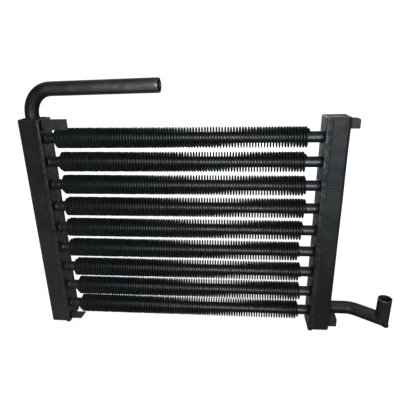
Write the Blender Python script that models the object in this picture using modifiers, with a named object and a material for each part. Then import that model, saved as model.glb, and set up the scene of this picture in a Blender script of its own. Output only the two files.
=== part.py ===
"""Oil cooler radiator: nine finned tubes between two upright header tanks.

Sizes are in metres and +Z is up. The part's origin is the middle of the left
header's foot. The pieces are placed about the middle of the core, and hang on one
empty that carries them to that origin. The axes of the nine tubes lie in the plane
y = 0, and -Y is the front, which the outlet stub leans towards.
"""

import math

import bmesh
import bpy
from mathutils import Matrix, Vector

# Clearances between pieces that are welded on the real object
GAP = 0.0003
BRACKET_CLEARANCE = 0.0006

# Core
TUBE_COUNT = 9
TUBE_RADIUS = 0.008
TUBE_WALL = 0.0015
TUBE_REACH = 0.002
CORE_WIDTH = 0.401
ROW_GAP = 0.00595
FOOT_MARGIN = 0.0112
HEAD_MARGIN = 0.0138

# Fin strips, wound as a helix, here at about twice the real pitch
FIN_HEIGHT = 0.0068
FIN_FOOT = 0.0005
FIN_PITCH = 0.0098
BARE_END = 0.016
FIN_SIDES = 8
FIN_SLIDES = (-0.0025, -0.002, -0.0035, -0.0025, -0.0035, -0.0055, 0.001, 0.0005, -0.001)

# Header tanks and tube plates, folded from sheet
HEADER_WIDTH = 0.0335
PLATE_DEPTH = 0.0425
PLATE_SHEET = 0.0022
PLATE_LAP = 0.0065
PLATE_FOLD = 0.0026
TANK_WALL = 0.0025
TANK_FOLD = 0.005
CAP_THICKNESS = 0.003
CAP_SETBACK = 0.0008

# Bracket plates
BRACKET_THICKNESS = 0.0025
BRACKET_FRONT = 0.0105
LEFT_TOP_BRACKET_LENGTH = 0.0368
LEFT_BOTTOM_BRACKET_LENGTH = 0.024
RIGHT_BRACKET_LENGTH = 0.0132
RIGHT_TOP_BRACKET_HEIGHT = 0.0148
RIGHT_TOP_BRACKET_DROP = 0.0014
RIGHT_BOTTOM_BRACKET_RISE = 0.0018
LEFT_BRACKET_CUT = 0.009
LEFT_BRACKET_EDGE = 0.00145
RIGHT_BRACKET_CUT = 0.004
RIGHT_BRACKET_EDGE = 0.0135

# Inlet pipe
INLET_MARGIN = 0.00675
INLET_SHIFT = 0.00095
INLET_WALL = 0.0016
INLET_DEPTH = 0.006
INLET_RISE = 0.0054
INLET_BEND = 0.036
INLET_BEND_ANGLE = math.radians(88.8)
INLET_SWING = math.radians(-7.0)
INLET_RUN = 0.1617

# Outlet pipe and its mitred stub
OUTLET_RADIUS = 0.0104
OUTLET_WALL = 0.0016
OUTLET_HEIGHT = 0.033
OUTLET_DEPTH = 0.006
OUTLET_LEAD = 0.0247
OUTLET_BEND = 0.0312
OUTLET_BEND_ANGLE = math.radians(36.0)
OUTLET_RUN = 0.040
STUB_HEIGHT = 0.037

# Fineness of round shapes
TUBE_SIDES = 12
PIPE_SIDES = 14
BEND_STEP = math.radians(13)
FOLD_STEPS = 3
CUTTER_MARGIN = 0.004

# Places that follow from the sizes above
FACE_X = CORE_WIDTH / 2
OUTER_X = FACE_X + HEADER_WIDTH
FIN_RADIUS = TUBE_RADIUS + FIN_HEIGHT
FIN_LENGTH = CORE_WIDTH - 2 * BARE_END
TUBE_PITCH = 2 * FIN_RADIUS + ROW_GAP
LOWEST_TUBE = FOOT_MARGIN + FIN_RADIUS
TOP_TUBE = LOWEST_TUBE + (TUBE_COUNT - 1) * TUBE_PITCH
HEADER_HEIGHT = TOP_TUBE + FIN_RADIUS + HEAD_MARGIN
TANK_DEPTH = PLATE_DEPTH - 2 * (PLATE_SHEET + GAP)
TANK_REACH = HEADER_WIDTH - PLATE_SHEET - GAP
INLET_RADIUS = HEADER_WIDTH / 2 - INLET_MARGIN
INLET_OFFSET = HEADER_WIDTH / 2 + INLET_SHIFT
BRACKET_BACK = BRACKET_FRONT - BRACKET_THICKNESS


def clear_scene():
    for item in list(bpy.data.objects):
        bpy.data.objects.remove(item, do_unlink=True)


def new_collection(name):
    collection = bpy.data.collections.new(name)
    bpy.context.scene.collection.children.link(collection)
    return collection


def paint(name, colour, roughness, metallic):
    """One painted steel: a Principled BSDF with the piece's own tone."""
    material = bpy.data.materials.new(name)
    material.use_nodes = True
    shader = material.node_tree.nodes["Principled BSDF"]
    shader.inputs["Base Color"].default_value = (*colour, 1.0)
    shader.inputs["Roughness"].default_value = roughness
    shader.inputs["Metallic"].default_value = metallic
    return material


def add_object(name, mesh, collection, material=None):
    item = bpy.data.objects.new(name, mesh)
    collection.objects.link(item)
    if material is not None and not mesh.materials:
        mesh.materials.append(material)
    return item


def shade_round(mesh):
    mesh.shade_smooth()
    mesh.set_sharp_from_angle(angle=math.radians(32))


def mesh_from_curve(curve, name):
    """The evaluated mesh of a curve, with its loose caps welded on."""
    holder = bpy.data.objects.new(name, curve)
    bpy.context.scene.collection.objects.link(holder)
    graph = bpy.context.evaluated_depsgraph_get()
    mesh = bpy.data.meshes.new_from_object(holder.evaluated_get(graph))
    mesh.transform(holder.matrix_world)
    bpy.data.objects.remove(holder, do_unlink=True)
    mesh.name = name
    shape = bmesh.new()
    shape.from_mesh(mesh)
    bmesh.ops.remove_doubles(shape, verts=shape.verts, dist=0.00001)
    shape.to_mesh(mesh)
    shape.free()
    return mesh


def path_mesh(name, points, radius, sides, filled):
    """A round bar along a path when filled, else the bare skin of a pipe."""
    curve = bpy.data.curves.new(name, "CURVE")
    curve.dimensions = "3D"
    curve.bevel_depth = radius
    curve.bevel_resolution = (sides - 4) // 2
    curve.use_fill_caps = filled
    spline = curve.splines.new("POLY")
    spline.points.add(len(points) - 1)
    for point, place in zip(spline.points, points):
        point.co = (*place, 1.0)
    return mesh_from_curve(curve, name)


def hollow_pipe(name, points, radius, wall, sides, collection, material):
    """A pipe is the skin along its path, thickened inwards."""
    mesh = path_mesh(name, points, radius, sides, filled=False)
    shape = bmesh.new()
    shape.from_mesh(mesh)
    bmesh.ops.recalc_face_normals(shape, faces=shape.faces)
    first = shape.faces[:][0]
    nearest = min(points, key=lambda place: (Vector(place) - first.calc_center_median()).length)
    if first.normal.dot(first.calc_center_median() - Vector(nearest)) < 0:
        bmesh.ops.reverse_faces(shape, faces=shape.faces)
    shape.to_mesh(mesh)
    shape.free()
    shade_round(mesh)
    item = add_object(name, mesh, collection, material)
    skin = item.modifiers.new("wall", "SOLIDIFY")
    skin.thickness = wall
    skin.offset = -1.0
    skin.use_even_offset = True
    return item


def outline_plate(name, outline, thickness):
    """A flat plate: a filled 2D outline in the XY plane, from z = 0 to its thickness."""
    curve = bpy.data.curves.new(name, "CURVE")
    curve.dimensions = "2D"
    curve.fill_mode = "BOTH"
    curve.extrude = thickness / 2
    spline = curve.splines.new("POLY")
    spline.use_cyclic_u = True
    spline.points.add(len(outline) - 1)
    for point, (x, y) in zip(spline.points, outline):
        point.co = (x, y, 0.0, 1.0)
    mesh = mesh_from_curve(curve, name)
    mesh.transform(Matrix.Translation((0, 0, thickness / 2)))
    return mesh


def corner_arc(centre, radius, start, steps=FOLD_STEPS):
    """Points of a quarter circle that turns anticlockwise from the angle start."""
    angles = [start + math.pi / 2 * step / steps for step in range(steps + 1)]
    return [(centre[0] + radius * math.cos(a), centre[1] + radius * math.sin(a)) for a in angles]


def folded_channel(name, reach, depth, fold, sheet, collection, material):
    """An upright channel: its web on x = 0, its two edges folded towards +X."""
    half = depth / 2
    profile = [(reach, half)]
    profile += corner_arc((fold, half - fold), fold, math.pi / 2)
    profile += corner_arc((fold, fold - half), fold, math.pi)
    profile.append((reach, -half))
    shape = bmesh.new()
    low = [shape.verts.new((x, y, 0)) for x, y in profile]
    edges = [shape.edges.new(pair) for pair in zip(low, low[1:])]
    swept = bmesh.ops.extrude_edge_only(shape, edges=edges)["geom"]
    high = [part for part in swept if isinstance(part, bmesh.types.BMVert)]
    bmesh.ops.translate(shape, verts=high, vec=(0, 0, HEADER_HEIGHT))
    bmesh.ops.recalc_face_normals(shape, faces=shape.faces)
    web = min(shape.faces, key=lambda face: face.calc_center_median().x)
    if web.normal.x > 0:
        bmesh.ops.reverse_faces(shape, faces=shape.faces)
    mesh = bpy.data.meshes.new(name)
    shape.to_mesh(mesh)
    shape.free()
    shade_round(mesh)
    item = add_object(name, mesh, collection, material)
    skin = item.modifiers.new("sheet", "SOLIDIFY")
    skin.thickness = sheet
    skin.offset = -1.0
    skin.use_even_offset = True
    return item


def cut(item, cutter):
    hole = item.modifiers.new("cut by " + cutter.name, "BOOLEAN")
    hole.operation = "DIFFERENCE"
    hole.solver = "EXACT"
    hole.object = cutter


def add_cutter(name, mesh, collection):
    item = add_object(name, mesh, collection)
    item.hide_render = True
    item.display_type = "WIRE"
    return item


def join_meshes(name, meshes):
    shape = bmesh.new()
    for mesh in meshes:
        shape.from_mesh(mesh)
        bpy.data.meshes.remove(mesh)
    joined = bpy.data.meshes.new(name)
    shape.to_mesh(joined)
    shape.free()
    return joined


def tube_height(index):
    """Height of a tube's axis, with tube 1 at the top."""
    return TOP_TUBE - index * TUBE_PITCH


def fin_half_height(y):
    """Half the height of the finned round at a distance y from the tubes' plane."""
    return math.sqrt(max(FIN_RADIUS ** 2 - y ** 2, 0.0))


def fin_strip_mesh():
    """A strip wound round its tube: crest and root are two helices about the X axis.

    One turn's profile, root to crest to root, is spun along the axis. The ends are
    cut square, and the bore is a plain round that clears the tube.
    """
    bore = TUBE_RADIUS + GAP
    root = (bore + FIN_FOOT) / math.cos(math.pi / FIN_SIDES)
    turns = math.ceil(FIN_LENGTH / FIN_PITCH) + 2
    start = -turns * FIN_PITCH / 2
    shape = bmesh.new()
    profile = [(start, root), (start + FIN_PITCH / 2, FIN_RADIUS), (start + FIN_PITCH, root)]
    verts = [shape.verts.new((x, 0, r)) for x, r in profile]
    edges = [shape.edges.new(pair) for pair in zip(verts, verts[1:])]
    bmesh.ops.spin(
        shape, geom=verts + edges, cent=(0, 0, 0), axis=(1, 0, 0),
        dvec=(FIN_PITCH / FIN_SIDES, 0, 0), angle=2 * math.pi * (turns - 1),
        steps=FIN_SIDES * (turns - 1), use_duplicate=False)
    bmesh.ops.remove_doubles(shape, verts=shape.verts, dist=0.00001)
    for side in (-1, 1):
        everything = shape.verts[:] + shape.edges[:] + shape.faces[:]
        bmesh.ops.bisect_plane(
            shape, geom=everything, plane_co=(side * FIN_LENGTH / 2, 0, 0),
            plane_no=(side, 0, 0), clear_outer=True, dist=0.0000001)
    bmesh.ops.create_cone(
        shape, segments=TUBE_SIDES, radius1=bore, radius2=bore, depth=FIN_LENGTH,
        cap_ends=False, matrix=Matrix.Rotation(math.pi / 2, 4, "Y"))
    for side in (-1, 1):
        rim = [edge for edge in shape.edges if edge.is_boundary and edge.verts[0].co.x * side > 0]
        bmesh.ops.triangle_fill(shape, edges=rim, use_beauty=True)
    bmesh.ops.recalc_face_normals(shape, faces=shape.faces)
    mesh = bpy.data.meshes.new("fin_strip")
    shape.to_mesh(mesh)
    shape.free()
    return mesh


def build_core(parts, steel, fins):
    strip = fin_strip_mesh()
    strip.materials.append(fins)
    half = FACE_X + PLATE_SHEET + TUBE_REACH
    for index in range(TUBE_COUNT):
        z = tube_height(index)
        path = [(-half, 0, z), (half, 0, z)]
        hollow_pipe(f"tube_{index + 1}", path, TUBE_RADIUS, TUBE_WALL, TUBE_SIDES, parts, steel)
        item = add_object(f"fin_strip_{index + 1}", strip, parts)
        item.location = (FIN_SLIDES[index % len(FIN_SLIDES)], 0, z)


def build_headers(parts, cutters, tank_paint, plate_paint):
    """Both headers: the right one as built, the left one turned half round."""
    bars = []
    for index in range(TUBE_COUNT):
        z = tube_height(index)
        reach = OUTER_X + CUTTER_MARGIN
        ends = [(-reach, 0, z), (reach, 0, z)]
        bars.append(path_mesh("bar", ends, TUBE_RADIUS + GAP, TUBE_SIDES, filled=True))
    tube_holes = add_cutter("tube_holes", join_meshes("tube_holes", bars), cutters)
    for side, name in ((-1, "left"), (1, "right")):
        tank = folded_channel(
            f"{name}_tank", TANK_REACH, TANK_DEPTH, TANK_FOLD, TANK_WALL, parts, tank_paint)
        tank.location.x = side * OUTER_X
        tank.rotation_euler.z = math.pi if side > 0 else 0.0
        plate = folded_channel(
            f"{name}_tube_plate", PLATE_LAP, PLATE_DEPTH, PLATE_FOLD, PLATE_SHEET, parts, plate_paint)
        plate.location.x = side * FACE_X
        plate.rotation_euler.z = 0.0 if side > 0 else math.pi
        cut(plate, tube_holes)
        build_caps(name, side, parts, tank_paint)


def build_caps(name, side, parts, material):
    """The two flat caps that close a header: flush at the foot, set down at the top."""
    near = FACE_X + PLATE_SHEET + GAP
    far = OUTER_X - TANK_WALL - GAP
    half = TANK_DEPTH / 2 - TANK_WALL - GAP
    fold = TANK_FOLD - TANK_WALL
    outline = [(near, half), (near, -half)]
    outline += corner_arc((far - fold, fold - half), fold, -math.pi / 2)
    outline += corner_arc((far - fold, half - fold), fold, 0.0)
    top = HEADER_HEIGHT - CAP_SETBACK - CAP_THICKNESS
    for level, z in (("top", top), ("bottom", 0.0)):
        mesh = outline_plate(f"{name}_{level}_cap", outline, CAP_THICKNESS)
        cap = add_object(f"{name}_{level}_cap", mesh, parts, material)
        cap.location.z = z
        cap.rotation_euler.z = 0.0 if side > 0 else math.pi


def build_bracket(name, x, length, bottom, top, corner, parts, material):
    """A flat plate that faces the front.

    corner is None, or says which outer corner is cut off, by how much of the plate's
    length, and how much of its outer edge stays.
    """
    outline = [(0, bottom), (length, bottom), (length, top), (0, top)]
    if corner is not None:
        which, cut_off, edge = corner
        if which == "lower":
            outline[1:2] = [(length - cut_off, bottom), (length, top - edge)]
        else:
            outline[2:3] = [(length, bottom + edge), (length - cut_off, top)]
    mesh = outline_plate(name, outline, BRACKET_THICKNESS)
    bracket = add_object(name, mesh, parts, material)
    bracket.rotation_euler.x = math.pi / 2
    bracket.location = (x, -BRACKET_BACK, 0)


def build_brackets(parts, material):
    fin = fin_half_height(BRACKET_BACK) + BRACKET_CLEARANCE
    pipe = math.sqrt(max(OUTLET_RADIUS ** 2 - BRACKET_BACK ** 2, 0.0)) + BRACKET_CLEARANCE
    left = GAP - FACE_X
    right = OUTER_X + GAP
    high = HEADER_HEIGHT - RIGHT_TOP_BRACKET_DROP
    build_bracket(
        "left_top_bracket", left, LEFT_TOP_BRACKET_LENGTH, TOP_TUBE + fin, HEADER_HEIGHT,
        None, parts, material)
    build_bracket(
        "left_bottom_bracket", left, LEFT_BOTTOM_BRACKET_LENGTH, 0.0, LOWEST_TUBE - fin,
        ("lower", LEFT_BRACKET_CUT, LEFT_BRACKET_EDGE), parts, material)
    build_bracket(
        "right_top_bracket", right, RIGHT_BRACKET_LENGTH, high - RIGHT_TOP_BRACKET_HEIGHT, high,
        None, parts, material)
    build_bracket(
        "right_bottom_bracket", right, RIGHT_BRACKET_LENGTH, RIGHT_BOTTOM_BRACKET_RISE,
        OUTLET_HEIGHT - pipe, ("upper", RIGHT_BRACKET_CUT, RIGHT_BRACKET_EDGE), parts, material)


def bend_points(centre, inward, along, radius, angle):
    """Points of a bend about a centre, from the side that inward points away from."""
    steps = max(2, math.ceil(angle / BEND_STEP))
    angles = [angle * step / steps for step in range(steps + 1)]
    return [centre - inward * radius * math.cos(a) + along * radius * math.sin(a) for a in angles]


def inlet_path():
    """Up from inside the left header, round the bend, then out along the top."""
    up = Vector((0, 0, 1))
    heading = Vector((math.cos(INLET_SWING), math.sin(INLET_SWING), 0))
    foot = Vector((-FACE_X - INLET_OFFSET, 0, 0))
    points = [foot + up * (HEADER_HEIGHT - CAP_SETBACK - CAP_THICKNESS - INLET_DEPTH)]
    centre = foot + up * (HEADER_HEIGHT + INLET_RISE) + heading * INLET_BEND
    points += bend_points(centre, heading, up, INLET_BEND, INLET_BEND_ANGLE)
    along = heading * math.sin(INLET_BEND_ANGLE) + up * math.cos(INLET_BEND_ANGLE)
    points.append(points[-1] + along * INLET_RUN)
    return points


def outlet_directions():
    right = Vector((1, 0, 0))
    front = Vector((0, -1, 0))
    heading = right * math.cos(OUTLET_BEND_ANGLE) + front * math.sin(OUTLET_BEND_ANGLE)
    return right, front, heading


def outlet_path():
    """Out of the right header's side, round to the front, then on to the stub's axis."""
    right, front, heading = outlet_directions()
    foot = Vector((OUTER_X, 0, OUTLET_HEIGHT))
    points = [foot - right * (TANK_WALL + OUTLET_DEPTH)]
    centre = foot + right * OUTLET_LEAD + front * OUTLET_BEND
    points += bend_points(centre, front, right, OUTLET_BEND, OUTLET_BEND_ANGLE)
    points.append(points[-1] + heading * OUTLET_RUN)
    return points


def mitre_cutter(name, joint, heading, side, cutters):
    """A block whose near face is the mitre plane, moved half the gap off the joint."""
    up = Vector((0, 0, 1))
    normal = (heading + up).normalized() * side
    size = 6 * OUTLET_RADIUS
    shape = bmesh.new()
    bmesh.ops.create_cube(shape, size=size)
    mesh = bpy.data.meshes.new(name)
    shape.to_mesh(mesh)
    shape.free()
    block = add_cutter(name, mesh, cutters)
    block.rotation_mode = "QUATERNION"
    block.rotation_quaternion = normal.to_track_quat("Z", "Y")
    block.location = joint + normal * (size / 2 - GAP / 2)
    return block


def build_inlet(parts, cutters, material):
    hollow_pipe("inlet_pipe", inlet_path(), INLET_RADIUS, INLET_WALL, PIPE_SIDES, parts, material)
    foot = inlet_path()[0]
    ends = [foot, Vector((foot.x, foot.y, HEADER_HEIGHT + CUTTER_MARGIN))]
    bar = path_mesh("inlet_hole", ends, INLET_RADIUS + GAP, PIPE_SIDES, filled=True)
    cut(bpy.data.objects["left_top_cap"], add_cutter("inlet_hole", bar, cutters))


def build_outlet(parts, cutters, material):
    _, _, heading = outlet_directions()
    path = outlet_path()
    joint = path[-1]
    past = 2 * OUTLET_RADIUS
    path[-1] = joint + heading * past
    pipe = hollow_pipe("outlet_pipe", path, OUTLET_RADIUS, OUTLET_WALL, PIPE_SIDES, parts, material)
    up = Vector((0, 0, 1))
    stub_path = [joint - up * past, joint + up * STUB_HEIGHT]
    stub = hollow_pipe("outlet_stub", stub_path, OUTLET_RADIUS, OUTLET_WALL, PIPE_SIDES, parts, material)
    cut(pipe, mitre_cutter("outlet_mitre", joint, heading, 1, cutters))
    cut(stub, mitre_cutter("stub_mitre", joint, heading, -1, cutters))
    ends = [path[0], Vector((OUTER_X + CUTTER_MARGIN, 0, OUTLET_HEIGHT))]
    bar = path_mesh("outlet_hole", ends, OUTLET_RADIUS + GAP, PIPE_SIDES, filled=True)
    cut(bpy.data.objects["right_tank"], add_cutter("outlet_hole", bar, cutters))


def hang_on_frame(parts, cutters):
    """Every piece and cutter hangs on an empty in the middle of the core's foot."""
    frame = bpy.data.objects.new("core_frame", None)
    frame.location.x = OUTER_X - HEADER_WIDTH / 2
    for item in parts.objects[:] + cutters.objects[:]:
        item.parent = frame
    parts.objects.link(frame)


def main():
    clear_scene()
    parts = new_collection("oil_cooler_radiator")
    cutters = new_collection("cutters")
    tank_paint = paint("tank_paint", (0.020, 0.021, 0.022), 0.45, 0.25)
    plate_paint = paint("plate_paint", (0.024, 0.025, 0.026), 0.42, 0.25)
    tube_paint = paint("tube_paint", (0.022, 0.024, 0.027), 0.35, 0.3)
    fin_paint = paint("fin_paint", (0.010, 0.011, 0.012), 0.5, 0.3)
    pipe_paint = paint("pipe_paint", (0.022, 0.023, 0.025), 0.38, 0.3)
    bracket_paint = paint("bracket_paint", (0.028, 0.028, 0.029), 0.45, 0.25)
    build_core(parts, tube_paint, fin_paint)
    build_headers(parts, cutters, tank_paint, plate_paint)
    build_brackets(parts, bracket_paint)
    build_inlet(parts, cutters, pipe_paint)
    build_outlet(parts, cutters, pipe_paint)
    hang_on_frame(parts, cutters)


main()
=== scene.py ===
"""Looks of the oil cooler radiator: welded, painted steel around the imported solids.

Lengths are in metres in the row frame: +X runs from the left header to the right one,
-Y is the front and +Z is up. Each piece stands for the solids of the same name.
"""

import math

import bpy
import numpy as np
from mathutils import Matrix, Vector


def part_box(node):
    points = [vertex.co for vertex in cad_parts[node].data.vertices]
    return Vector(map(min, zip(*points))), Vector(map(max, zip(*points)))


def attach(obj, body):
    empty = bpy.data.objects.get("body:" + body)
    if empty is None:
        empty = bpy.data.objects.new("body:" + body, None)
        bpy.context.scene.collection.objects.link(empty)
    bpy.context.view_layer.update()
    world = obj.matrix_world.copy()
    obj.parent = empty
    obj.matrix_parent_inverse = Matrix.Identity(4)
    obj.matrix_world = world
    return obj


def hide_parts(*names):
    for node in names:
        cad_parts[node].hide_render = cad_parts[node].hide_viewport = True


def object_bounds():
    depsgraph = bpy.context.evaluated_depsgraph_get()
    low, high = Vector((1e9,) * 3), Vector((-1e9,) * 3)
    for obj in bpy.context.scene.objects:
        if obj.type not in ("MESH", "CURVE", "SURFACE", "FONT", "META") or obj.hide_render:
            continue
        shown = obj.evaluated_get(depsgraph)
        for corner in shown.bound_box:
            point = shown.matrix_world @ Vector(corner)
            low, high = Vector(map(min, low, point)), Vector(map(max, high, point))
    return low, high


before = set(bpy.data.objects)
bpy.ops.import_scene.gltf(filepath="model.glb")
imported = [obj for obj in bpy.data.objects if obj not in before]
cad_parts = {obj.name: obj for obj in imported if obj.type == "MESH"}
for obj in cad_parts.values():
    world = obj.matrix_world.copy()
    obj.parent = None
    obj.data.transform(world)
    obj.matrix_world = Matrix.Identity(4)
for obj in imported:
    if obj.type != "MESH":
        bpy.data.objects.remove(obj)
cad_low, cad_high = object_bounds()

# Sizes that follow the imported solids
ROWS = 9
TUBE_RADIUS = 0.008
PLATE_SHEET = 0.0022
PLATE_FOLD = 0.0026
PLATE_LAP = 0.0065
TANK_WALL = 0.0025
TANK_FOLD = 0.005
CAP_THICKNESS = 0.003
CAP_SETBACK = 0.0008
CAP_CORNER = 0.0025
GAP = 0.0003
LEFT_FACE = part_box("left_tube_plate")[1].x
RIGHT_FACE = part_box("right_tube_plate")[0].x
LEFT_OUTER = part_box("left_tank")[0].x
RIGHT_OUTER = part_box("right_tank")[1].x
PLATE_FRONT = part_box("left_tube_plate")[0].y
TANK_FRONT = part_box("left_tank")[0].y
HEADER_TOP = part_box("left_tank")[1].z
ROW_Z = [sum(corner.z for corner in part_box(f"tube_{row + 1}")) / 2 for row in range(ROWS)]

# Brackets: how far their cut corners reach along X, and the height of the edge that is left
LEFT_BRACKET_CUT = 0.009
LEFT_BRACKET_EDGE = 0.00145
RIGHT_BRACKET_CUT = 0.004
RIGHT_BRACKET_EDGE = 0.0135

# Pipes
INLET_RADIUS = 0.010
INLET_WALL = 0.0016
INLET_X = -0.00095
INLET_DEPTH = 0.009
INLET_RISE = 0.0054
INLET_BEND = 0.036
INLET_ANGLE = math.radians(88.8)
INLET_SWING = math.radians(-7.0)
INLET_RUN = 0.1617
OUTLET_RADIUS = 0.0104
OUTLET_WALL = 0.0016
OUTLET_Z = 0.033
OUTLET_DEPTH = 0.008
OUTLET_LEAD = 0.0247
OUTLET_BEND = 0.0312
OUTLET_ANGLE = math.radians(36.0)
OUTLET_RUN = 0.040
STUB_HEIGHT = 0.037
MITRE_REACH = 0.024

# Painted glints round the stub's mouth: bearing and half width in degrees, and strength
RIM_GLINTS = ((-173, 26, 0.90), (-113, 15, 0.60), (-48, 11, 0.25), (60, 20, 0.25))

# Fin strips, one a row: a thick painted strip wound on edge round each tube. FIN_AT is a
# place where the crest passes the side that the camera sees.
FIN_RADIUS = 0.0152
FIN_PITCH = (0.004161, 0.004145, 0.004160, 0.004168, 0.004177, 0.004150, 0.004151, 0.004124, 0.004118)
FIN_AT = (0.2398, 0.2393, 0.2384, 0.2417, 0.2392, 0.2414, 0.2410, 0.2384, 0.2424)
FIN_FROM = (0.0302, 0.0322, 0.0312, 0.0312, 0.0278, 0.0275, 0.0318, 0.0325, 0.0328)
FIN_TO = (0.3990, 0.3975, 0.3998, 0.4020, 0.3995, 0.3970, 0.4010, 0.4027, 0.4020)

# Half the strip's thickness at each radius, from its foot on the tube to its crest
FIN_HALVES = (
    (0.0077, 0.00145), (0.00812, 0.00140), (0.0088, 0.00125), (0.0137, 0.00122),
    (0.0145, 0.00108), (0.0150, 0.00078), (FIN_RADIUS, 0.00032))

# Steps in one turn, the turns over which a strip rises from its tube and sinks back to it, and
# the share of its height above which it counts as crest
FIN_STEPS = 30
RUN_IN = 0.9
RUN_OUT = 0.5
CREST_SHARE = 0.85

# A painted highlight along the front of the fins, a pale stripe where the light is seen, as angles
# round the tube in degrees: its half width, and how far it lies above the level of the axis in the
# top and the bottom row
PAINTED_HIGHLIGHT_WIDTH = 5.5
PAINTED_HIGHLIGHT_RISE = (12.5, 36.0)

# Weld beads, as width and height
SEAM_BEAD = (0.0030, 0.0011)
CAP_BEAD = (0.0036, 0.0017)
BRACKET_BEAD = (0.0042, 0.0019)
EDGE_BEAD = (0.0034, 0.0014)
INLET_BEAD = (0.0042, 0.0018)
OUTLET_BEAD = (0.0044, 0.0018)
MITRE_BEAD = (0.0034, 0.0007)

# Spacing of the points on a bead's path, length of its ripples, depth of its underside, where
# the bracket's edge bead lies, how far a collar's path is off its pipe, and a tube weld's leg
BEAD_STEP = 0.0005
BRACKET_BEAD_STEP = 0.0004
BEAD_RIPPLE = 0.0026
BEAD_SINK = 0.0006
EDGE_BEAD_Y = -0.0078
COLLAR_OFF = 0.0007
TUBE_WELD = 0.0013

# Fineness of round shapes and small edges
PIPE_SIDES = 56
PIPE_STEP = 0.004
FOLD_STEPS = 9
PIPE_RIM = 0.0004
FOLDED_BEVEL = 0.0004
PLATE_BEVEL = 0.0003

# Where the picture is taken from, and how the camera is turned, in degrees
CAMERA = (0.29853, -0.57698, 0.40704)
CAMERA_TURN = (68.8445, 1.13996, 5.08841)
CAMERA_LENS = 35.948
CAMERA_SHIFT = 0.05

RIGHT = np.array([1.0, 0.0, 0.0])
FRONT = np.array([0.0, -1.0, 0.0])
UP = np.array([0.0, 0.0, 1.0])


# ---- meshes

def skin(rings, loop=False):
    """Vertices and faces of a closed surface through equal closed rings of points.

    The last ring joins the first one in a loop, else both get an end face.
    """
    rings = np.asarray(rings, float)
    count, points = rings.shape[:2]
    index = np.arange(count * points).reshape(count, points)
    following = np.roll(index, -1, axis=0) if loop else index[1:]
    current = index if loop else index[:-1]
    quads = np.stack(
        [current, np.roll(current, -1, axis=1), np.roll(following, -1, axis=1), following], axis=-1)
    faces = quads.reshape(-1, 4).tolist()
    if not loop:
        faces.append(index[0][::-1].tolist())
        faces.append(index[-1].tolist())
    return rings.reshape(-1, 3), faces


def merge(parts):
    """One list of vertices and one of faces from several."""
    verts, faces, base = [], [], 0
    for points, polygons in parts:
        verts.append(np.asarray(points, float))
        faces += [[corner + base for corner in face] for face in polygons]
        base += len(points)
    return np.concatenate(verts), faces


def add_piece(name, parts, material, nodes, slot, sharp=35.0, **marks):
    """A mesh piece that rides on the one body and stands for its solids.

    marks are values at its points that its paint reads: rubbing and painted light, dulling with painted fill
    light, and a painted highlight.
    """
    verts, faces = merge(parts)
    verts = np.clip(verts, cad_low, cad_high)
    mesh = bpy.data.meshes.new(name)
    mesh.from_pydata(verts.tolist(), [], faces)
    mesh.validate()
    mesh.materials.append(material)
    mesh.shade_smooth()
    mesh.set_sharp_from_angle(angle=math.radians(sharp))
    for kind, values in marks.items():
        attribute = mesh.attributes.new(kind, "FLOAT", "POINT")
        attribute.data.foreach_set("value", np.asarray(values, np.float32))
    piece = bpy.data.objects.new(name, mesh)
    bpy.context.scene.collection.objects.link(piece)
    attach(piece, "root")
    if nodes:
        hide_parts(*nodes)


def unit(vectors):
    """Vectors along the last axis, brought to length 1."""
    return vectors / np.linalg.norm(vectors, axis=-1, keepdims=True)


def wander(places, spacing, seed, size):
    """A smooth random line: cosine steps between random values a spacing apart."""
    places = np.asarray(places, float) / spacing
    low = places.min()
    dice = np.random.default_rng(seed)
    values = dice.uniform(-size, size, int(places.max() - low) + 3)
    whole = np.floor(places - low).astype(int)
    share = places - low - whole
    blend = (1 - np.cos(math.pi * share)) / 2
    return values[whole] * (1 - blend) + values[whole + 1] * blend


def carried_normals(path):
    """Two normals at each point of a path, carried along it without twist."""
    tangents = unit(np.gradient(path, axis=0))
    side = FRONT if abs(tangents[0] @ UP) > 0.9 else UP
    sides = []
    for tangent in tangents:
        side = unit(side - tangent * (side @ tangent))
        sides.append(side)
    sides = np.array(sides)
    return sides, np.cross(tangents, sides)


def round_rings(path, radii):
    """Round rings about the points of a path: one radius a point, or one for each side too."""
    path = np.asarray(path, float)
    first, second = carried_normals(path)
    turn = np.arange(PIPE_SIDES) * 2 * math.pi / PIPE_SIDES
    circle = np.cos(turn)[None, :, None] * first[:, None, :]
    circle = circle + np.sin(turn)[None, :, None] * second[:, None, :]
    radii = np.asarray(radii, float)
    if radii.ndim == 1:
        radii = radii[:, None]
    return path[:, None, :] + circle * radii[:, :, None]


def hollow(path, radius, wall):
    """An open pipe: outside, rounded rims and inside as one closed surface."""
    path = np.asarray(path, float)
    start, end = unit(path[1] - path[0]), unit(path[-2] - path[-1])
    inner = radius - wall
    outside = round_rings(path, np.full(len(path), radius))
    inside = round_rings(path, np.full(len(path), inner))
    first, last = path[0], path[-1]

    def scaled(ring, centre, factor, shift):
        return centre + (ring - centre) * factor + shift

    edge = (radius - PIPE_RIM) / radius
    shoulder = (radius - 0.3 * PIPE_RIM) / radius
    lip = (inner + PIPE_RIM) / inner
    rings = [
        scaled(outside[0], first, edge, 0),
        scaled(outside[0], first, shoulder, start * PIPE_RIM * 0.3),
        scaled(outside[0], first, 1.0, start * PIPE_RIM)]
    rings += list(outside[1:-1])
    rings += [
        scaled(outside[-1], last, 1.0, end * PIPE_RIM),
        scaled(outside[-1], last, shoulder, end * PIPE_RIM * 0.3),
        scaled(outside[-1], last, edge, 0),
        scaled(inside[-1], last, lip, 0),
        scaled(inside[-1], last, 1.0, end * PIPE_RIM)]
    rings += list(inside[1:-1][::-1])
    rings += [scaled(inside[0], first, 1.0, start * PIPE_RIM), scaled(inside[0], first, lip, 0)]
    return skin(rings, loop=True)


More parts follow.
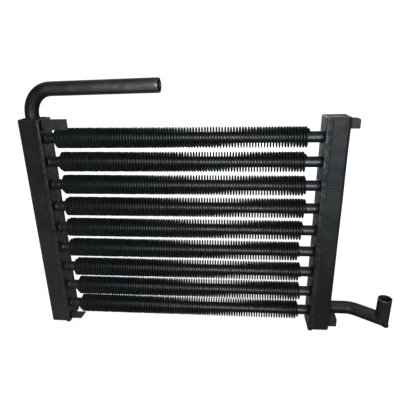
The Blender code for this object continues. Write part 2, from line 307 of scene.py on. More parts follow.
def bead(path, up, size, seed, closed=False):
    """A weld bead on a path: a low round ridge with curved ripples and an uneven width.

    up is the direction that the bead stands out in, the same all along or one a point.
    """
    width, height = size
    path = np.asarray(path, float)
    steps = np.linalg.norm(np.diff(path, axis=0, append=path[:1] if closed else path[-1:]), axis=1)
    along = np.concatenate([[0.0], np.cumsum(steps)[:-1]])
    tangents = np.roll(path, -1, axis=0) - np.roll(path, 1, axis=0)
    if not closed:
        tangents[0], tangents[-1] = path[1] - path[0], path[-1] - path[-2]
    up = np.broadcast_to(np.asarray(up, float), path.shape)
    across = unit(np.cross(unit(tangents), up))
    spread = np.linspace(-1, 1, 9)
    hump = np.sqrt(np.clip(1 - spread ** 2, 0, 1))
    broad = 1 + wander(along, 0.009, seed, 0.16)
    tall = 1 + wander(along, 0.006, seed + 1, 0.16)
    if not closed:
        fade = np.minimum(along, along[-1] - along) / (0.6 * width)
        fade = np.sqrt(np.clip(fade, 0.02, 1))
        broad, tall = broad * fade, tall * fade
    pull = wander(along, 0.004, seed + 2, 0.25)
    bow = 0.35 * width * (1 - spread[None, :] ** 2)
    phase = (along[:, None] - bow) / BEAD_RIPPLE + pull[:, None]
    saw = phase - np.floor(phase)
    rise = 1 + 0.22 * (np.clip(saw * 1.25, 0, 1) - 0.5)
    lift = height * tall[:, None] * hump[None, :] * rise
    shift = width / 2 * broad[:, None] * spread[None, :]
    rings = path[:, None, :] + across[:, None, :] * shift[:, :, None] + up[:, None, :] * lift[:, :, None]
    low = path - up * BEAD_SINK
    left = low - across * (width / 2 * broad)[:, None]
    right = low + across * (width / 2 * broad)[:, None]
    rings = np.concatenate([rings, right[:, None, :], left[:, None, :]], axis=1)[:, ::-1]
    return skin(rings, loop=closed)


def resample(points, spacing, closed=False):
    """Points a set spacing apart along a polyline."""
    points = np.asarray(points, float)
    if closed:
        points = np.concatenate([points, points[:1]])
    steps = np.linalg.norm(np.diff(points, axis=0), axis=1)
    along = np.concatenate([[0.0], np.cumsum(steps)])
    count = max(3, int(round(along[-1] / spacing)) + 1)
    places = np.linspace(0, along[-1], count)
    if closed:
        places = places[:-1]
    return np.stack([np.interp(places, along, points[:, axis]) for axis in range(3)], axis=1)


def arc(centre, radius, start, end, steps=FOLD_STEPS):
    """Points of an arc in a plane, from one angle to another."""
    angles = np.linspace(start, end, steps + 1)
    return [(centre[0] + radius * math.cos(a), centre[1] + radius * math.sin(a)) for a in angles]


def channel_outline(reach, half, fold, sheet):
    """Closed outline of a folded channel: its web on x = 0, its edges towards +X."""
    outer = [(reach, half)]
    outer += arc((fold, half - fold), fold, math.pi / 2, math.pi)
    outer += arc((fold, fold - half), fold, math.pi, 1.5 * math.pi)
    outer.append((reach, -half))
    inner_fold = max(fold - sheet, 0.0003)
    middle = sheet + inner_fold
    inner = [(reach, -half + sheet)]
    inner += arc((middle, middle - half), inner_fold, 1.5 * math.pi, math.pi)
    inner += arc((middle, half - middle), inner_fold, math.pi, math.pi / 2)
    inner.append((reach, half - sheet))
    return np.array(outer + inner)


def fold_share():
    """How far each point of a channel's outline lies in its two outer folds."""
    fold = np.sin(np.linspace(0, math.pi, FOLD_STEPS + 1))
    return np.concatenate([[0.0], fold, fold, [0.0], np.zeros(2 * FOLD_STEPS + 4)])


def inset(outline, distance):
    """A closed outline moved inwards, for small bevels."""
    outline = np.asarray(outline, float)
    after, before = np.roll(outline, -1, axis=0), np.roll(outline, 1, axis=0)
    both = unit(after - outline) + unit(outline - before)
    area = np.sum(outline[:, 0] * after[:, 1] - after[:, 0] * outline[:, 1])
    turn = 1.0 if area > 0 else -1.0
    normals = np.stack([-both[:, 1], both[:, 0]], axis=1) * turn
    corner = np.clip(np.linalg.norm(normals, axis=1) / 2, 0.4, 1)
    return outline + unit(normals) * (distance / corner)[:, None]


def standing(outline, high, pieces, wave):
    """An upright prism from the floor up, with bevelled ends and slight waves.

    Returns its mesh and how many rings of the outline it has.
    """
    outline = np.asarray(outline, float)
    levels = [0.0, FOLDED_BEVEL, *np.linspace(0.0, high, pieces + 1)[1:-1], high - FOLDED_BEVEL, high]
    rings = []
    for level in levels:
        edge = inset(outline, FOLDED_BEVEL) if level in (0.0, high) else outline
        ring = np.column_stack([edge, np.full(len(edge), level)])
        ring[:, :2] += wave(ring)
        rings.append(ring)
    return skin(rings), len(levels)


def flat_plate(outline, low, high):
    """A plate from an outline in two axes: its thickness runs along the third."""
    near = inset(outline, PLATE_BEVEL)
    levels = ((near, low), (outline, low + PLATE_BEVEL), (outline, high - PLATE_BEVEL), (near, high))
    return skin([np.column_stack([edge, np.full(len(edge), level)]) for edge, level in levels])


def bend_line(centre, inward, along, radius, angle, steps):
    """Points of a bend that starts along one direction and turns towards another."""
    angles = np.linspace(0, angle, steps + 1)[:, None]
    return centre - inward * radius * np.cos(angles) + along * radius * np.sin(angles)


def straight(start, end, spacing=PIPE_STEP):
    """Points of a straight run, without its first one."""
    return list(resample([start, end], spacing)[1:])


# ---- materials

def node(tree, kind, **values):
    """A new node with some of its settings."""
    made = tree.nodes.new(kind)
    for name, value in values.items():
        setattr(made, name, value)
    return made


def marked(tree, kind):
    """A value that the mesh holds at its points, 0 where it has none."""
    return node(tree, "ShaderNodeAttribute", attribute_name=kind).outputs["Fac"]


def along_axis(tree, vector, axis):
    """One coordinate of a vector."""
    split = node(tree, "ShaderNodeSeparateXYZ")
    tree.links.new(vector, split.inputs[0])
    return split.outputs[axis]


def noise(tree, source, scale, detail, rough, stretch=None):
    """A noise texture's factor at a scale, stretched along the axes when asked."""
    texture = node(tree, "ShaderNodeTexNoise")
    texture.inputs["Scale"].default_value = scale
    texture.inputs["Detail"].default_value = detail
    texture.inputs["Roughness"].default_value = rough
    if stretch is not None:
        mapping = node(tree, "ShaderNodeMapping")
        mapping.inputs["Scale"].default_value = stretch
        tree.links.new(source, mapping.inputs["Vector"])
        source = mapping.outputs["Vector"]
    tree.links.new(source, texture.inputs["Vector"])
    return texture.outputs["Fac"]


def ranged(tree, value, low, high, to_low, to_high):
    """A value brought smoothly from one range to another, and held at its ends."""
    made = node(tree, "ShaderNodeMapRange", interpolation_type="SMOOTHSTEP")
    made.inputs["From Min"].default_value = low
    made.inputs["From Max"].default_value = high
    made.inputs["To Min"].default_value = to_low
    made.inputs["To Max"].default_value = to_high
    tree.links.new(value, made.inputs["Value"])
    return made.outputs["Result"]


def combined(tree, operation, first, second):
    """A sum, product or maximum of a socket and a socket or number."""
    made = node(tree, "ShaderNodeMath", operation=operation)
    tree.links.new(first, made.inputs[0])
    if isinstance(second, (int, float)):
        made.inputs[1].default_value = second
    else:
        tree.links.new(second, made.inputs[1])
    return made.outputs[0]


def times(tree, first, second):
    """The product of a socket and a socket or number."""
    return combined(tree, "MULTIPLY", first, second)


def mixed(tree, share, first, second):
    """A colour between two, each a colour or a socket."""
    made = node(tree, "ShaderNodeMix", data_type="RGBA")
    tree.links.new(share, made.inputs["Factor"])
    for socket, colour in ((made.inputs[6], first), (made.inputs[7], second)):
        if isinstance(colour, tuple):
            socket.default_value = (*colour, 1.0)
        else:
            tree.links.new(colour, socket)
    return made.outputs[2]


def bump(tree, height, strength, distance, below=None):
    """A normal pushed by a height, on top of another bump's normal when there is one."""
    made = node(tree, "ShaderNodeBump")
    made.inputs["Strength"].default_value = strength
    made.inputs["Distance"].default_value = distance
    tree.links.new(height, made.inputs["Height"])
    if below is not None:
        tree.links.new(below, made.inputs["Normal"])
    return made.outputs["Normal"]


# A pale warm tone near the left header's foot: it thins out upwards and to the right
FOOT_TONE = (0.0196, 0.0186, 0.0136)
FOOT_TONE_SHARE = 0.60
FOOT_TONE_TOP = 0.32
FOOT_TONE_RIGHT = (0.02, 0.09)


def foot_tone(tree, place, specks):
    """The share of that tone at a place."""
    upwards = ranged(tree, along_axis(tree, place, "Z"), 0.0, FOOT_TONE_TOP, FOOT_TONE_SHARE, 0.0)
    aside = ranged(tree, along_axis(tree, place, "X"), *FOOT_TONE_RIGHT, 1.0, 0.0)
    return times(tree, times(tree, upwards, aside), ranged(tree, specks, 0.35, 0.65, 0.6, 1.0))


def press_marks(tree, place):
    """Fine level lines from the press, in patches."""
    waves = node(tree, "ShaderNodeTexWave", wave_type="BANDS", bands_direction="Z")
    waves.inputs["Scale"].default_value = 136.0
    waves.inputs["Distortion"].default_value = 2.0
    waves.inputs["Detail"].default_value = 2.0
    tree.links.new(place, waves.inputs["Vector"])
    patches = ranged(tree, noise(tree, place, 14.0, 2.0, 0.5, (1.0, 1.0, 0.5)), 0.42, 0.58, 0.0, 1.0)
    return times(tree, waves.outputs["Fac"], patches)


def paint(name, dark, light, rough, specular, wear_and_light_tone=None, shine=0.0, painted_fill_tone=None, painted_highlight_tone=None,
          mottle=(130.0, 0.2), fading=(0.20, 0.70), graze=0.06, dust_and_top_light=0.35, dust_and_top_light_tone=(0.060, 0.058, 0.052),
          dents=0.12, ripples=0.0):
    """Satin black paint on steel: cloudy tone, uneven gloss, orange peel, dents, rubbing, painted light and a
    dusting on top.

    The tone wanders between dark and light, and the roughness between the two of rough.
    The gloss is specular, plus shine where the mesh is marked for rubbing and painted light. Its
    clouds have the scale and depth of mottle, and over the Facing range of fading it drops to the
    share graze. That mark brings its own tone: rubbing on some pieces, and a painted highlight,
    painted shade and painted fill light on others. A second mark takes the gloss away and brings a
    lighter tone, painted fill light, and a third brings a pale painted highlight. A dusting lies on
    what looks up, in its own tone; where it is heavy it also paints the upper side lighter: painted top
    light.
    """
    material = bpy.data.materials.new(name)
    material.use_nodes = True
    tree = material.node_tree
    shader = tree.nodes["Principled BSDF"]
    place = node(tree, "ShaderNodeTexCoord").outputs["Object"]
    clouds = noise(tree, place, 16.0, 5.0, 0.6)
    specks = noise(tree, place, 420.0, 3.0, 0.7)
    peel = noise(tree, place, 950.0, 2.0, 0.5)
    lumps = noise(tree, place, 55.0, 3.0, 0.5)
    wear = marked(tree, "wear")

    gloss = combined(tree, "ADD", times(tree, wear, shine), specular)
    cloudy = ranged(tree, noise(tree, place, mottle[0], 2.0, 0.5), 0.36, 0.64, 1 - mottle[1], 1 + mottle[1])
    facing = node(tree, "ShaderNodeLayerWeight").outputs["Facing"]
    gloss = times(tree, times(tree, gloss, cloudy), ranged(tree, facing, *fading, 1.0, graze))
    if painted_fill_tone is not None:
        dull_and_painted_fill = marked(tree, "dull_and_painted_fill")
        gloss = times(tree, gloss, ranged(tree, dull_and_painted_fill, 0.0, 1.0, 1.0, 0.0))
    shader.inputs["Specular IOR Level"].default_value = specular
    tree.links.new(gloss, shader.inputs["Specular IOR Level"])
    tree.links.new(ranged(tree, lumps, 0.3, 0.7, *rough), shader.inputs["Roughness"])

    colour = mixed(tree, ranged(tree, clouds, 0.35, 0.68, 0.0, 1.0), dark, light)
    # Places marked for dulling take a lighter tone: painted fill light
    if painted_fill_tone is not None:
        colour = mixed(tree, dull_and_painted_fill, colour, painted_fill_tone)
    # A dusting on what looks up; where it is heavy, as on the pipes, it also paints the upper side lighter:
    # painted top light
    normal = node(tree, "ShaderNodeNewGeometry").outputs["Normal"]
    upward = ranged(tree, along_axis(tree, normal, "Z"), 0.45, 1.0, 0.0, dust_and_top_light)
    dust_and_top_light_share = times(tree, upward, ranged(tree, specks, 0.35, 0.7, 0.35, 1.0))
    colour = mixed(tree, dust_and_top_light_share, colour, dust_and_top_light_tone)
    # The marked tone: rubbing on some pieces, and painted highlight, painted shade and painted fill light on
    # others
    if wear_and_light_tone is not None:
        wear_and_light_share = times(tree, wear, ranged(tree, specks, 0.42, 0.62, 0.25, 1.0))
        colour = mixed(tree, wear_and_light_share, colour, wear_and_light_tone)
    # A pale painted highlight where marked
    if painted_highlight_tone is not None:
        colour = mixed(tree, marked(tree, "painted_highlight"), colour, painted_highlight_tone)
    colour = mixed(tree, foot_tone(tree, place, specks), colour, FOOT_TONE)
    tree.links.new(colour, shader.inputs["Base Color"])

    surface = bump(tree, peel, 0.05, 0.001)
    surface = bump(tree, lumps, dents, 0.004, surface)
    if ripples > 0:
        surface = bump(tree, press_marks(tree, place), ripples, 0.001, surface)
    tree.links.new(surface, shader.inputs["Normal"])
    return material


TANK = paint(
    "tank_paint_satin", (0.0020, 0.0018, 0.0014), (0.0076, 0.0070, 0.0050), (0.30, 0.40), 0.095,
    wear_and_light_tone=(0.0040, 0.0037, 0.0027), shine=-0.032, mottle=(130.0, 0.1), ripples=0.24)
# The right top cap: a dusting on top, made paler to paint in the sheen that its gloss no longer gives
DUST_AND_SHEEN_CAP = paint(
    "cap_paint_dust_and_painted_sheen", (0.0040, 0.0040, 0.0036), (0.0080, 0.0078, 0.0070), (0.35, 0.50), 0.14,
    graze=0.0, dust_and_top_light=0.85, dust_and_top_light_tone=(0.42, 0.41, 0.315))
DARK_CAP = paint("cap_paint_satin", (0.0040, 0.0039, 0.0032), (0.0085, 0.0080, 0.0066), (0.40, 0.55), 0.06)
# The tube plates' lighter marked tone is painted light: a highlight on the folds and fill light on the web's
# top
PLATE = paint(
    "plate_paint_satin", (0.0024, 0.0025, 0.0018), (0.0062, 0.0063, 0.0045), (0.34, 0.44), 0.12,
    wear_and_light_tone=(0.012, 0.012, 0.012), shine=0.75, mottle=(170.0, 0.45))
SEAM = paint(
    "seam_paint_rough", (0.0016, 0.0016, 0.0015), (0.0036, 0.0036, 0.0032), (0.50, 0.65), 0.05,
    wear_and_light_tone=(0.0100, 0.0102, 0.0088), shine=0.10)
TUBE = paint(
    "tube_paint_satin", (0.0062, 0.0070, 0.0072), (0.0104, 0.0114, 0.0116), (0.30, 0.37), 0.08,
    wear_and_light_tone=(0.0076, 0.0086, 0.0090), shine=0.58, graze=0.04, fading=(0.0, 0.16))
# The fins: the darker marked tone on the crests is painted shade that evens out the light they catch, the
# lighter tone on the row's left part is painted fill light, and the pale tone is a painted highlight
FIN = paint(
    "fin_paint_satin", (0.0088, 0.0096, 0.0088), (0.0138, 0.0150, 0.0138), (0.30, 0.40), 0.07,
    wear_and_light_tone=(0.0030, 0.0035, 0.0034), shine=0.17, fading=(0.0, 0.09), dust_and_top_light=0.04,
    painted_fill_tone=(0.019, 0.021, 0.019), painted_highlight_tone=(0.105, 0.112, 0.116))
# The inlet: its lighter marked tone paints the highlight along its run, and its heavy dusting paints its
# upper side lighter, painted top light
PIPE = paint(
    "pipe_paint_satin", (0.0040, 0.0040, 0.0042), (0.0080, 0.0080, 0.0082), (0.30, 0.46), 0.08,
    wear_and_light_tone=(0.0110, 0.0112, 0.0118), shine=0.50, fading=(0.0, 0.34), mottle=(45.0, 0.25), dust_and_top_light=0.75, dents=0.40)
# The outlet: its lighter marked tone paints a highlight on the bend and the slanted run, and its dusting
# paints its upper side a little lighter
OUTLET = paint(
    "outlet_paint_satin", (0.0036, 0.0036, 0.0036), (0.0074, 0.0073, 0.0073), (0.32, 0.46), 0.07,
    wear_and_light_tone=(0.0110, 0.0110, 0.0116), shine=0.45, fading=(0.0, 0.34), mottle=(45.0, 0.25), dust_and_top_light=0.50, dents=0.40)
# The stub: its pale marked tone paints glints on the mouth's rim and fill light just inside it
STUB = paint(
    "stub_paint_satin", (0.0030, 0.0032, 0.0028), (0.0062, 0.0064, 0.0056), (0.50, 0.62), 0.07,
    wear_and_light_tone=(0.32, 0.32, 0.30))
# The upper brackets take a lighter tone than the lower ones
BRACKET = paint(
    "bracket_paint_satin", (0.0122, 0.0110, 0.0110), (0.0184, 0.0164, 0.0166), (0.46, 0.56), 0.11)
LOWER_BRACKET = paint(
    "lower_bracket_paint_satin", (0.0046, 0.0048, 0.0042), (0.0090, 0.0092, 0.0078), (0.46, 0.56), 0.10)


# ---- core

def fin_strip(row):
    """A strip wound on edge, right-handed about +X, with a small foot on its tube.

    Its first and last part of a turn run out to the tube. Returns its mesh and marks.
    """
    pitch, start, stop = FIN_PITCH[row], FIN_FROM[row], FIN_TO[row]
    turn = np.arange(int((stop - start) / pitch * FIN_STEPS) + 1) / FIN_STEPS
    middle = start + turn * pitch
    above = math.atan2(CAMERA[2] - ROW_Z[row], -CAMERA[1])
    angle = (turn - (FIN_AT[row] - start) / pitch) * 2 * math.pi + math.pi / 2 - above
    lean = wander(turn, 0.8, 40 + row, 0.00020) + wander(turn, 5.3, 60 + row, 0.00020)
    nicks = np.clip(wander(turn, 0.40, 80 + row, 0.00040), 0, 1)
    risen = np.clip(np.minimum(turn / RUN_IN, (turn[-1] - turn) / RUN_OUT), 0.05, 1) ** 0.6
    height = FIN_RADIUS - TUBE_RADIUS
    proud = -nicks - height * (1 - risen)
    profile = [(-half, radius) for radius, half in FIN_HALVES]
    profile += [(half, radius) for radius, half in FIN_HALVES[::-1]]
    rings, crest = [], []
    for offset, radius in profile:
        share = min(max((radius - TUBE_RADIUS) / height, 0.0), 1.0)
        x = middle + offset + lean * share
        r = np.minimum(radius + proud * share, FIN_RADIUS)
        rings.append(np.stack([x, r * np.cos(angle), ROW_Z[row] + r * np.sin(angle)], axis=1))
        crest.append(share > CREST_SHARE)
    rings = np.stack(rings, axis=1)
    # The crests take the darker marked tone, painted shade, and more gloss, most between 0.08 and 0.21 m
    # along
    wear_and_light_share = np.interp(middle, [0.08, 0.12, 0.18, 0.21], [1.0, 1.45, 1.45, 1.0])
    wear = wear_and_light_share[:, None] * np.array(crest)
    # The row's left part loses its gloss and takes a lighter tone: painted fill light in the gaps between the
    # fins
    dull_and_painted_fill = np.interp(middle, [0.03, 0.09, 0.15, 0.20], [0.85, 0.75, 0.40, 0.0])
    # Painted highlight: a pale stripe at the height on each row where the light is seen, strongest on the
    # left part of the row and half as strong on the crests
    toward = math.pi - np.radians(np.interp(row, [0, ROWS - 1], PAINTED_HIGHLIGHT_RISE))
    aside = np.degrees((angle - toward + math.pi) % (2 * math.pi) - math.pi)
    pale = np.interp(middle, [0.03, 0.06, 0.10, 0.15, 0.20, 0.24], [0.12, 0.28, 0.58, 1.0, 0.4, 0.0])
    painted_highlight = (np.exp(-(aside / PAINTED_HIGHLIGHT_WIDTH) ** 2) * pale)[:, None] * np.where(crest, 0.5, 1.0)
    dull_and_painted_fill = np.repeat(dull_and_painted_fill, len(profile))
    return skin(rings), {"wear": wear.ravel(), "dull_and_painted_fill": dull_and_painted_fill, "painted_highlight": painted_highlight.ravel()}


def weld_profile(face, away, seed):
    """Stations and radii of a fillet weld round a tube at a face."""
    turn = np.arange(PIPE_SIDES) * 2 * math.pi / PIPE_SIDES
    ripple = 1 + 0.10 * np.sin(turn * 13 + seed) + 0.07 * np.sin(turn * 5 + 2.1 * seed)
    shape = ((-0.0003, 1.0), (0.0002, 0.98), (0.0006, 0.80), (0.0010, 0.52), (0.0014, 0.24), (0.0018, 0.0))
    return [(face + away * offset, TUBE_RADIUS + TUBE_WELD * share * ripple) for offset, share in shape]


def bare_tube(row):
    """A tube with a fillet weld at each end. Returns its mesh and its marked values, which raise the gloss
    where the fins shade the tube.
    """
    stations = weld_profile(LEFT_FACE, 1, 1.7 * row)
    plain = np.full(PIPE_SIDES, TUBE_RADIUS)
    stations += [(x, plain) for x in np.linspace(LEFT_FACE + 0.006, RIGHT_FACE - 0.006, 40)]
    stations += weld_profile(RIGHT_FACE, -1, 1.7 * row + 3.0)[::-1]
    path = [(x, 0.0, ROW_Z[row]) for x, _ in stations]
    rings = round_rings(path, [radius for _, radius in stations])
    start, stop = FIN_FROM[row], FIN_TO[row]
    places = [LEFT_FACE + 0.002, start, start + 0.002, 0.16, 0.22, stop - 0.002, stop, RIGHT_FACE]
    bare = np.interp(row, [0, 3, 8], [0.60, 0.55, 0.30])
    shares = [0.25, 0.35, 1.45, 1.45, 1.12, 1.05, bare, bare - 0.15]
    return skin(rings), np.interp(rings[:, :, 0].ravel(), places, shares)


def build_core():
    """A fin strip and its tube in each row, from the top down."""
    for row in range(ROWS):
        strip, marks = fin_strip(row)
        add_piece(f"fins_{row + 1}", [strip], FIN, [f"fin_strip_{row + 1}"], "fin_paint", sharp=50.0, **marks)
        tube, wear = bare_tube(row)
        add_piece(f"core_tube_{row + 1}", [tube], TUBE, [f"tube_{row + 1}"], "tube_paint", wear=wear)


# ---- headers

def header_wave(seed, folds=None):
    """Slight waves of the pressed faces and, where asked, lumps along the folds."""
    phases = np.random.default_rng(seed).uniform(0, 2 * math.pi, 6)
    lumps = ((0.00012, 0.0083, phases[2]), (0.0001, 0.0047, phases[3]), (0.00008, 0.0031, phases[4]))

    def wave(ring):
        z = ring[:, 2]
        push = 0.00012 * np.sin(z * 46 + phases[0]) + 0.0001 * np.sin(z * 23 + phases[1])
        moved = np.stack([push * 0.4, push * np.sign(ring[:, 1])], axis=1)
        if folds is not None:
            lump = sum(size * np.sin(z * 2 * math.pi / length + phase) for size, length, phase in lumps)
            moved[:, 1] += folds * lump * -np.sign(ring[:, 1])
        return moved

    return wave


def header_tank(side, name, face, outer, seed):
    """The folded tank. The right one has less gloss and a flatter, speckled tone in its lower half."""
    outline = channel_outline(abs(outer - face) - PLATE_SHEET - GAP, -TANK_FRONT, TANK_FOLD, TANK_WALL)
    outline[:, 0] = outer - side * outline[:, 0]
    shell, _ = standing(outline, HEADER_TOP, 24, header_wave(seed))
    wear = np.interp(shell[0][:, 2], [0.02, 0.06, 0.14, 0.185], [0.0, 1.0, 1.0, 0.0]) * (side > 0)
    add_piece(f"{name}_header_tank", [shell], TANK, [f"{name}_tank"], "tank_paint", wear=wear)


def header_plate(side, name, face, seed):
    """The tube plate. Its folds get more gloss and a lighter tone towards the top, which paints their
    highlight, and its web gets the lighter tone near the very top, which paints fill light there.
    """
    outline = channel_outline(PLATE_LAP, -PLATE_FRONT, PLATE_FOLD, PLATE_SHEET)
    outline[:, 0] = face + side * outline[:, 0]
    folds = fold_share()
    sheet, count = standing(outline, HEADER_TOP, 200, header_wave(seed + 3, folds))
    z = sheet[0][:, 2]
    high = np.clip((z - 0.13) / 0.16, 0, 1)
    web = np.zeros(len(folds))
    web[FOLD_STEPS + 1:FOLD_STEPS + 3] = 0.5 if side > 0 else 0.04
    folds, web = np.tile(folds, count), np.tile(web, count)
    wear = folds * high if side > 0 else 0.20 * folds ** 3 * np.sqrt(high)
    wear = wear + web * np.clip((z - 0.285) / 0.02, 0, 1)
    add_piece(f"{name}_header_plate", [sheet], PLATE, [f"{name}_tube_plate"], "plate_paint", wear=wear)


def header_seams(side, name, face, seed):
    """The two upright welds where the plate's edges lap over the tank."""
    x = face + side * (PLATE_LAP + 0.0008)
    beads = []
    for number, front in enumerate((-1, 1)):
        y = front * (0.0002 - TANK_FRONT)
        line = resample([(x, y, 0.0012), (x, y, HEADER_TOP - 0.0012)], BEAD_STEP)
        beads.append(bead(line, (0.0, front, 0.0), SEAM_BEAD, seed + 10 * number + 5))
    z = np.concatenate([points for points, _ in beads])[:, 2]
    # The seams' tone is lighter towards the bottom on the left header, and nearly all the way up on the right
    # one
    wear = np.clip(1 - z / 0.20, 0.85 if side > 0 else 0, 1)
    add_piece(f"{name}_header_seams", beads, SEAM, [], "plate_paint", wear=wear)


def header_caps(side, name, face, outer, seed):
    """The top cap with its weld all round, with a dusting and painted sheen on the right, and the bottom cap.
    """
    near = face + side * (PLATE_SHEET + GAP)
    far = outer - side * (TANK_WALL + GAP)
    room = -TANK_FRONT - TANK_WALL - GAP
    low_x, high_x = min(near, far), max(near, far)
    corners = []
    for x, y, start in (
            (high_x - CAP_CORNER, room - CAP_CORNER, 0.0),
            (low_x + CAP_CORNER, room - CAP_CORNER, math.pi / 2),
            (low_x + CAP_CORNER, CAP_CORNER - room, math.pi),
            (high_x - CAP_CORNER, CAP_CORNER - room, 1.5 * math.pi)):
        corners += arc((x, y), CAP_CORNER, start, start + math.pi / 2, 5)
    outline = np.array(corners)
    cap_top = HEADER_TOP - CAP_SETBACK
    upper = flat_plate(outline, cap_top - CAP_THICKNESS, cap_top)
    lower = flat_plate(outline, 0.0, CAP_THICKNESS)
    rim = np.column_stack([outline, np.full(len(outline), cap_top - 0.0004)])
    rim_bead = bead(resample(rim, BEAD_STEP, closed=True), UP, CAP_BEAD, seed + 31, closed=True)
    top_paint = DUST_AND_SHEEN_CAP if side > 0 else DARK_CAP
    add_piece(f"{name}_header_top_cap", [upper, rim_bead], top_paint, [f"{name}_top_cap"], "tank_paint")
    add_piece(f"{name}_header_bottom_cap", [lower], TANK, [f"{name}_bottom_cap"], "tank_paint")


def build_header(side, name, face, outer, seed):
    """side is +1 for the header on the right: its tube plate faces -X."""
    header_tank(side, name, face, outer, seed)
    header_plate(side, name, face, seed)
    header_seams(side, name, face, seed)
    header_caps(side, name, face, outer, seed)


# ---- brackets

def extent(name):
    """The left, right, lower and upper side of a solid."""
    low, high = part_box(name)
    return low.x, high.x, low.z, high.z


def bracket(name, corners, joint, seed, material, edge_line=None):
    """A flat plate between its front and back, with weld beads where it meets a header.

    joint is where those beads stand along X. edge_line is a line of one more bead.
    """
    low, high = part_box(name)
    points, faces = flat_plate(np.array(corners), low.y, high.y)
    parts = [(points[:, [0, 2, 1]], [face[::-1] for face in faces])]
    for number, (y, front) in enumerate(((low.y, -1.0), (high.y, 1.0))):
        line = resample([(joint, y, low.z + 0.001), (joint, y, high.z - 0.0006)], BRACKET_BEAD_STEP)
        parts.append(bead(line, (0.0, front, 0.0), BRACKET_BEAD, seed + number))
    if edge_line is not None:
        line = resample(edge_line, BRACKET_BEAD_STEP)
        parts.append(bead(line, (0.0, 0.6, 0.8), EDGE_BEAD, seed + 5))
    add_piece(f"{name}_plate", parts, material, [name], "bracket_paint")


def build_brackets():
    """The left ones stand on the tube plate's side, the right ones on the tank's outer side."""
    x0, x1, z0, z1 = extent("left_top_bracket")
    corners = [(x0, z0), (x1, z0), (x1, z1), (x0, z1)]
    bracket("left_top_bracket", corners, x0 + 0.0006, 300, BRACKET)
    x0, x1, z0, z1 = extent("left_bottom_bracket")
    corners = [(x0, z0), (x1 - LEFT_BRACKET_CUT, z0), (x1, z1 - LEFT_BRACKET_EDGE), (x1, z1), (x0, z1)]
    bracket("left_bottom_bracket", corners, x0 + 0.0006, 310, LOWER_BRACKET)
    x0, x1, z0, z1 = extent("right_top_bracket")
    corners = [(x0, z0), (x1, z0), (x1, z1 - 0.0030), (x1 - 0.0018, z1 - 0.0013), (x1 - 0.0060, z1), (x0, z1)]
    bracket("right_top_bracket", corners, x0 - 0.0002, 320, BRACKET)
    x0, x1, z0, z1 = extent("right_bottom_bracket")
    cut = x1 - RIGHT_BRACKET_CUT
    corners = [(x0, z0), (x1, z0), (x1, z0 + RIGHT_BRACKET_EDGE), (cut, z1), (x0, z1)]
    edge_line = [(x0 - 0.0004, EDGE_BEAD_Y, z1 - 0.0002), (cut, EDGE_BEAD_Y, z1 - 0.0002)]
    bracket("right_bottom_bracket", corners, x0 - 0.0002, 330, LOWER_BRACKET, edge_line)


# ---- pipes

def collar(centre, axis, across, radius, sides, size, seed):
    """A weld bead round a pipe where it leaves a face, leaning out along the pipe."""
    turn = np.linspace(0, 2 * math.pi, sides, endpoint=False)[:, None]
    circle = np.cos(turn) * across + np.sin(turn) * np.cross(axis, across)
    ring = resample(centre + radius * circle, BEAD_STEP, closed=True)
    return bead(ring, unit((ring - centre) / radius + axis), size, seed, closed=True)


def build_inlet():
    """Up out of the left header's top, through a bend, then nearly level to an open end."""
    heading = np.array([math.cos(INLET_SWING), math.sin(INLET_SWING), 0.0])
    along = heading * math.sin(INLET_ANGLE) + UP * math.cos(INLET_ANGLE)
    foot = np.array([INLET_X, 0.0, HEADER_TOP - INLET_DEPTH])
    turn_start = np.array([INLET_X, 0.0, HEADER_TOP + INLET_RISE])
    curve = bend_line(turn_start + heading * INLET_BEND, heading, UP, INLET_BEND, INLET_ANGLE, 30)
    line = [foot, *straight(foot, turn_start, 0.003), *curve[1:]]
    line += straight(curve[-1], curve[-1] + along * INLET_RUN)
    pipe = hollow(line, INLET_RADIUS, INLET_WALL)
    weld_centre = np.array([INLET_X, 0.0, HEADER_TOP - 0.0006])
    weld = collar(weld_centre, UP, RIGHT, INLET_RADIUS + COLLAR_OFF, 72, INLET_BEAD, 400)
    # Painted highlight: the tone gets lighter and the gloss stronger along the run towards the open end, and
    # stays low at the foot
    wear = np.interp(
        np.concatenate([pipe[0], weld[0]])[:, 0],
        [0.0, 0.008, 0.017, 0.022, 0.032, 0.06, 0.10, 0.15], [0.05, 0.08, 0.04, 0.1, 0.66, 0.72, 1.05, 1.40])
    add_piece("inlet_pipe_bent", [pipe, weld], PIPE, ["inlet_pipe"], "pipe_paint", wear=wear)


def mitred(path, axis, corner, plane):
    """A pipe along a path whose rings lean over into the mitre plane near its corner.

    axis points along the pipe towards the corner, and plane is the mitre's normal.
    """
    verts, faces = hollow(path, OUTLET_RADIUS, OUTLET_WALL)
    along = (verts - corner) @ axis
    share = np.clip((along + MITRE_REACH) / MITRE_REACH, 0, 1)
    lateral = verts - corner - along[:, None] * axis
    lean = -(lateral @ plane) / (axis @ plane)
    return verts + (share * lean)[:, None] * axis, faces


def mitre_weld(axis, corner, plane):
    """The bead round the joint of the outlet pipe and its stub."""
    turn = np.linspace(0, 2 * math.pi, 90, endpoint=False)[:, None]
    circle = OUTLET_RADIUS * (np.cos(turn) * np.cross(axis, UP) + np.sin(turn) * UP)
    seam = corner + circle - (circle @ plane / (axis @ plane))[:, None] * axis
    return bead(seam, unit(seam - corner), MITRE_BEAD, 420, closed=True)


